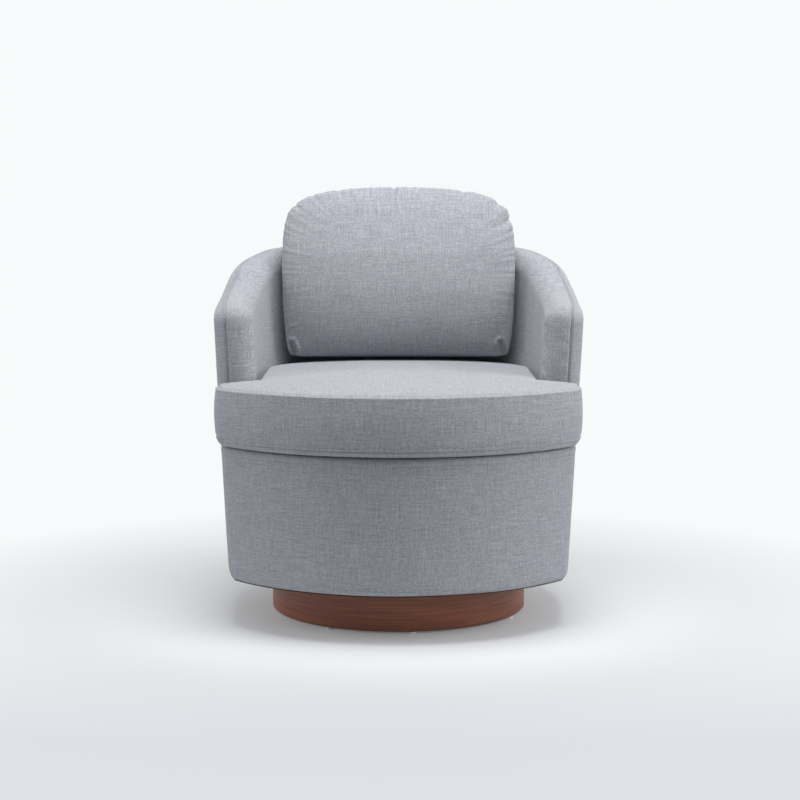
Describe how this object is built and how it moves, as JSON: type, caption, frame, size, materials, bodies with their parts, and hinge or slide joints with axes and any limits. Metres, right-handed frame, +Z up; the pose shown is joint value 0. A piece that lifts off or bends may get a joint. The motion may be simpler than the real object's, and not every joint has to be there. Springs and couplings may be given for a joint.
{
  "type": "swivel barrel armchair",
  "caption": "Upholstered barrel chair with a T-shaped seat cushion and a loose back cushion, turning on a round wooden plinth.",
  "frame": {"origin": "on the swivel axis at the floor, under the middle of the chair", "axes": "+Z up along the swivel axis, +X to the right seen from the front, the chair faces -Y"},
  "size_m": [0.722, 0.7657, 0.841],
  "materials": {
    "walnut_veneer": "satin reddish walnut veneer, grain level",
    "plywood": "raw plywood",
    "pine": "sawn softwood",
    "fibreboard": "raw hardboard",
    "white_plastic": "moulded nail-on glide",
    "zinc_steel": "zinc plated",
    "bearing_steel": "polished",
    "black_steel": "black powder coat",
    "spring_steel": "oiled spring wire",
    "black_cloth": "spunbonded cloth",
    "foam": "polyurethane foam",
    "fibre_fill": "loose polyester fibre",
    "grey_weave": "cool mid-grey linen-look basket weave"
  },
  "bodies": {
    "base": {"plinth_ring": "walnut_veneer", "plinth_top_board": "plywood", "plinth_blocks": "pine", "glides": "white_plastic", "glide_nails": "zinc_steel", "swivel_lower_plate": "black_steel", "lower_plate_screws": "zinc_steel"},
    "ball_cage": {"ball_cage_ring": "zinc_steel", "bearing_balls": "bearing_steel"},
    "seat": {"swivel_upper_plate": "black_steel", "spindle_ring": "zinc_steel", "upper_plate_bolts": "zinc_steel", "upper_plate_nuts": "zinc_steel", "bottom_board": "plywood", "lower_post_screws": "zinc_steel", "lower_posts": "pine", "seat_board": "plywood", "seat_board_screws": "zinc_steel", "arm_posts": "pine", "wall_posts": "pine", "top_rail": "plywood", "outer_panel": "fibreboard", "inner_panel": "fibreboard", "front_board": "fibreboard", "seat_springs": "spring_steel", "spring_clips": "zinc_steel", "clip_nails": "zinc_steel", "spring_tie_wires": "spring_steel", "deck_cloth": "black_cloth", "deck_pad": "foam", "deck_cover": "grey_weave", "wall_padding": "foam", "skirt_padding": "foam", "front_padding": "foam", "inside_cover": "grey_weave", "outside_cover": "grey_weave", "skirt_cover": "grey_weave", "front_cover": "grey_weave", "dust_cover": "black_cloth", "dust_cover_staples": "zinc_steel"},
    "seat_cushion": {"seat_cushion_cover": "grey_weave", "seat_cushion_foam": "foam"},
    "back_cushion": {"back_cushion_cover": "grey_weave", "back_cushion_fill": "fibre_fill"}
  },
  "joints": [
    {"name": "swivel", "type": "hinge", "parent": "base", "child": "seat", "pos_m": [0, 0, 0.084], "axis": [0, 0, 1], "continuous": true},
    {"name": "cage_roll", "type": "hinge", "parent": "base", "child": "ball_cage", "pos_m": [0, 0, 0.084], "axis": [0, 0, 1], "continuous": true},
    {"name": "seat_cushion_slide", "type": "slide", "parent": "seat", "child": "seat_cushion", "axis": [0, -1, 0], "range_m": [0, 0.6]},
    {"name": "back_cushion_lift", "type": "slide", "parent": "seat", "child": "back_cushion", "axis": [0, 0, 1], "range_m": [0, 0.3]}
  ],
  "couplings": [
    {"joint": "cage_roll", "follows": "swivel", "ratio": 0.5}
  ]
}
